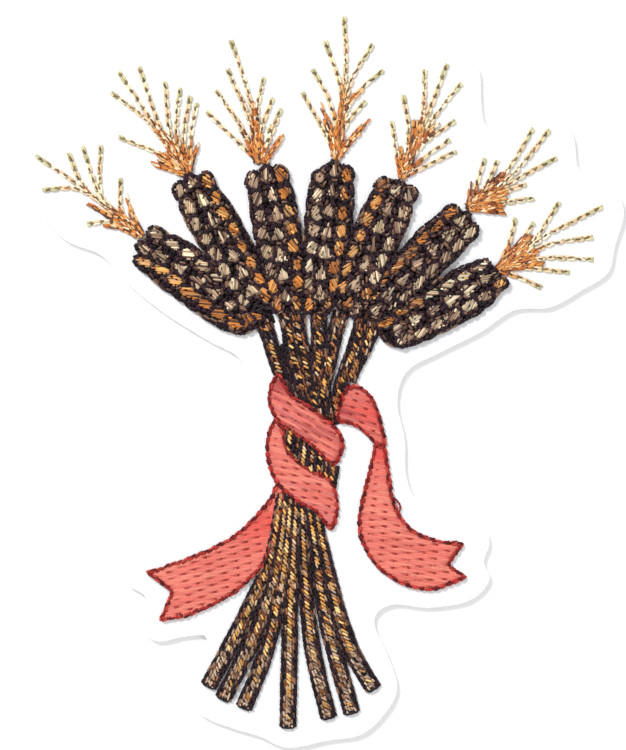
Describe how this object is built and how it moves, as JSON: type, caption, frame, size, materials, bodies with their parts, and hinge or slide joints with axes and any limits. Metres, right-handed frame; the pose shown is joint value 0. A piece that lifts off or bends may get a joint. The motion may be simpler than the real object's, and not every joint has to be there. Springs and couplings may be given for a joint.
{
  "type": "embroidered wheat sheaf applique",
  "caption": "Thread-embroidered wheat sheaf: bearded ears, a bunch of stalks and a ribbon tie on white cloth, cut close to the design, with a flat backing to sew or fuse on.",
  "frame": {"origin": "middle of the underside, on the surface the applique lies on", "axes": "+Z out of the stitched face, +Y along the bunch towards the awns, +X to the right seen from above"},
  "size_m": [0.084, 0.104, 0.0022],
  "materials": {
    "backing": "white non-woven stabiliser, matt",
    "cloth": "white cotton twill, matt",
    "ear_thread": "plum-black outline stitches round tan and ochre grains, rayon sheen",
    "awn_thread": "straw and rust running stitches, rayon sheen",
    "stalk_thread": "gold-brown variegated stitches with dark edges, rayon sheen",
    "ribbon_thread": "coral fill stitches with a dark red outline, rayon sheen"
  },
  "bodies": {
    "root": {"backing": "backing", "ground_cloth": "cloth", "ear_1": "ear_thread", "ear_2": "ear_thread", "ear_3": "ear_thread", "ear_4": "ear_thread", "ear_5": "ear_thread", "ear_6": "ear_thread", "ear_7": "ear_thread", "awns_1": "awn_thread", "awns_2": "awn_thread", "awns_3": "awn_thread", "awns_4": "awn_thread", "awns_5": "awn_thread", "awns_6": "awn_thread", "awns_7": "awn_thread", "stalk_upper_1": "stalk_thread", "stalk_upper_2": "stalk_thread", "stalk_upper_3": "stalk_thread", "stalk_upper_4": "stalk_thread", "stalk_upper_5": "stalk_thread", "stalk_upper_6": "stalk_thread", "stalk_upper_7": "stalk_thread", "stalks_between_bands": "stalk_thread", "stalk_lower_1": "stalk_thread", "stalk_lower_2": "stalk_thread", "stalk_lower_3": "stalk_thread", "stalk_lower_4": "stalk_thread", "stalk_lower_5": "stalk_thread", "stalk_lower_6": "stalk_thread", "stalk_lower_7": "stalk_thread", "ribbon_band_upper": "ribbon_thread", "ribbon_band_lower": "ribbon_thread", "ribbon_loop_right": "ribbon_thread", "ribbon_tail_right": "ribbon_thread", "ribbon_tail_left": "ribbon_thread"}
  },
  "joints": []
}
